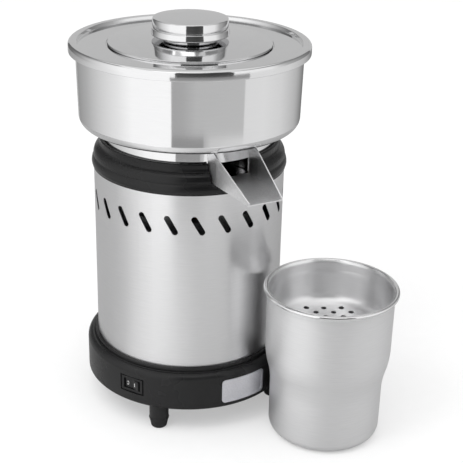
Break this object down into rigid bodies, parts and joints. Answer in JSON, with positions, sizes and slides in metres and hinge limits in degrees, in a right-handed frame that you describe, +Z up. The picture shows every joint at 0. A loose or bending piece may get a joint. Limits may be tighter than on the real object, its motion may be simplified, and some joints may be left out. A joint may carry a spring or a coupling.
{
  "type": "citrus juicer",
  "caption": "Electric citrus press juicer: slotted motor body on legs, turned juice bowl with spout and lid, and a loose catching cup with a strainer.",
  "frame": {"origin": "on the motor axis, in the plane that the rubber feet stand on", "axes": "+Z up along the motor axis, -Y towards the front with the switch, +X to the user's right where the cup stands"},
  "size_m": [0.3305, 0.2795, 0.41],
  "materials": {
    "base_plastic": "satin black moulding",
    "leg_plastic": "matte black",
    "foot_rubber": "matte black",
    "switch_plastic": "semi-gloss black",
    "terminal_plastic": "matte ivory",
    "fan_plastic": "matte dark grey",
    "reamer_plastic": "semi-gloss off-white",
    "polished_steel": "mirror polished",
    "satin_steel": "satin",
    "brushed_body": "fine circumferential brushing",
    "zinc_steel": "zinc plated",
    "screw_steel": "plated",
    "shaft_steel": "ground",
    "bearing_steel": "ground",
    "stator_steel": "varnished laminations",
    "cast_alloy": "as cast",
    "can_aluminium": "drawn can",
    "cup_aluminium": "spun satin",
    "copper_wire": "enamelled copper"
  },
  "bodies": {
    "housing": {"base_shell": "base_plastic", "base_plate": "zinc_steel", "legs": "leg_plastic", "rubber_feet": "foot_rubber", "foot_screws": "screw_steel", "cord_grommet": "foot_rubber", "switch_housing": "switch_plastic", "terminal_block": "terminal_plastic", "run_capacitor": "can_aluminium", "capacitor_clip": "zinc_steel", "body_shell": "brushed_body", "tie_rods": "screw_steel", "tie_rod_nuts": "screw_steel", "top_collar": "base_plastic", "collar_screws": "screw_steel", "lower_end_shield": "cast_alloy", "upper_end_shield": "cast_alloy", "stator_core": "stator_steel", "stator_windings": "copper_wire", "motor_bolts": "screw_steel", "lower_bearing": "bearing_steel", "upper_bearing": "bearing_steel", "shaft_seal": "foot_rubber"},
    "rotor": {"motor_shaft": "shaft_steel", "rotor_core": "stator_steel", "rotor_end_rings": "cast_alloy", "cooling_fan": "fan_plastic", "drive_pin": "shaft_steel"},
    "reamer_body": {"reamer": "reamer_plastic"},
    "bowl": {"juice_bowl": "polished_steel", "spout": "satin_steel"},
    "lid_body": {"lid": "polished_steel", "lid_knob": "polished_steel", "knob_screw": "screw_steel"},
    "rocker": {"switch_rocker": "switch_plastic"},
    "cup_body": {"cup": "cup_aluminium"},
    "strainer_body": {"cup_strainer": "cup_aluminium"}
  },
  "joints": [
    {"name": "motor_spin", "type": "hinge", "parent": "housing", "child": "rotor", "pos_m": [0, 0, 0.18], "axis": [0, 0, 1], "continuous": true},
    {"name": "bowl_lift", "type": "slide", "parent": "housing", "child": "bowl", "axis": [0, 0, 1], "range_m": [0, 0.09]},
    {"name": "reamer_lift", "type": "slide", "parent": "rotor", "child": "reamer_body", "axis": [0, 0, 1], "range_m": [0, 0.09]},
    {"name": "lid_lift", "type": "slide", "parent": "bowl", "child": "lid_body", "axis": [0, 0, 1], "range_m": [0, 0.12]},
    {"name": "rocker_switch", "type": "hinge", "parent": "housing", "child": "rocker", "pos_m": [-0.05538, -0.08862, 0.0476], "axis": [0, 0, 1], "range_deg": [0, 16]},
    {"name": "cup_slide", "type": "slide", "parent": "housing", "child": "cup_body", "axis": [-0.6329, -0.7742, 0], "range_m": [0, 0.0951]},
    {"name": "strainer_lift", "type": "slide", "parent": "cup_body", "child": "strainer_body", "axis": [0, 0, 1], "range_m": [0, 0.08]}
  ],
  "couplings": [
    {"joint": "reamer_lift", "follows": "bowl_lift", "ratio": 1}
  ]
}
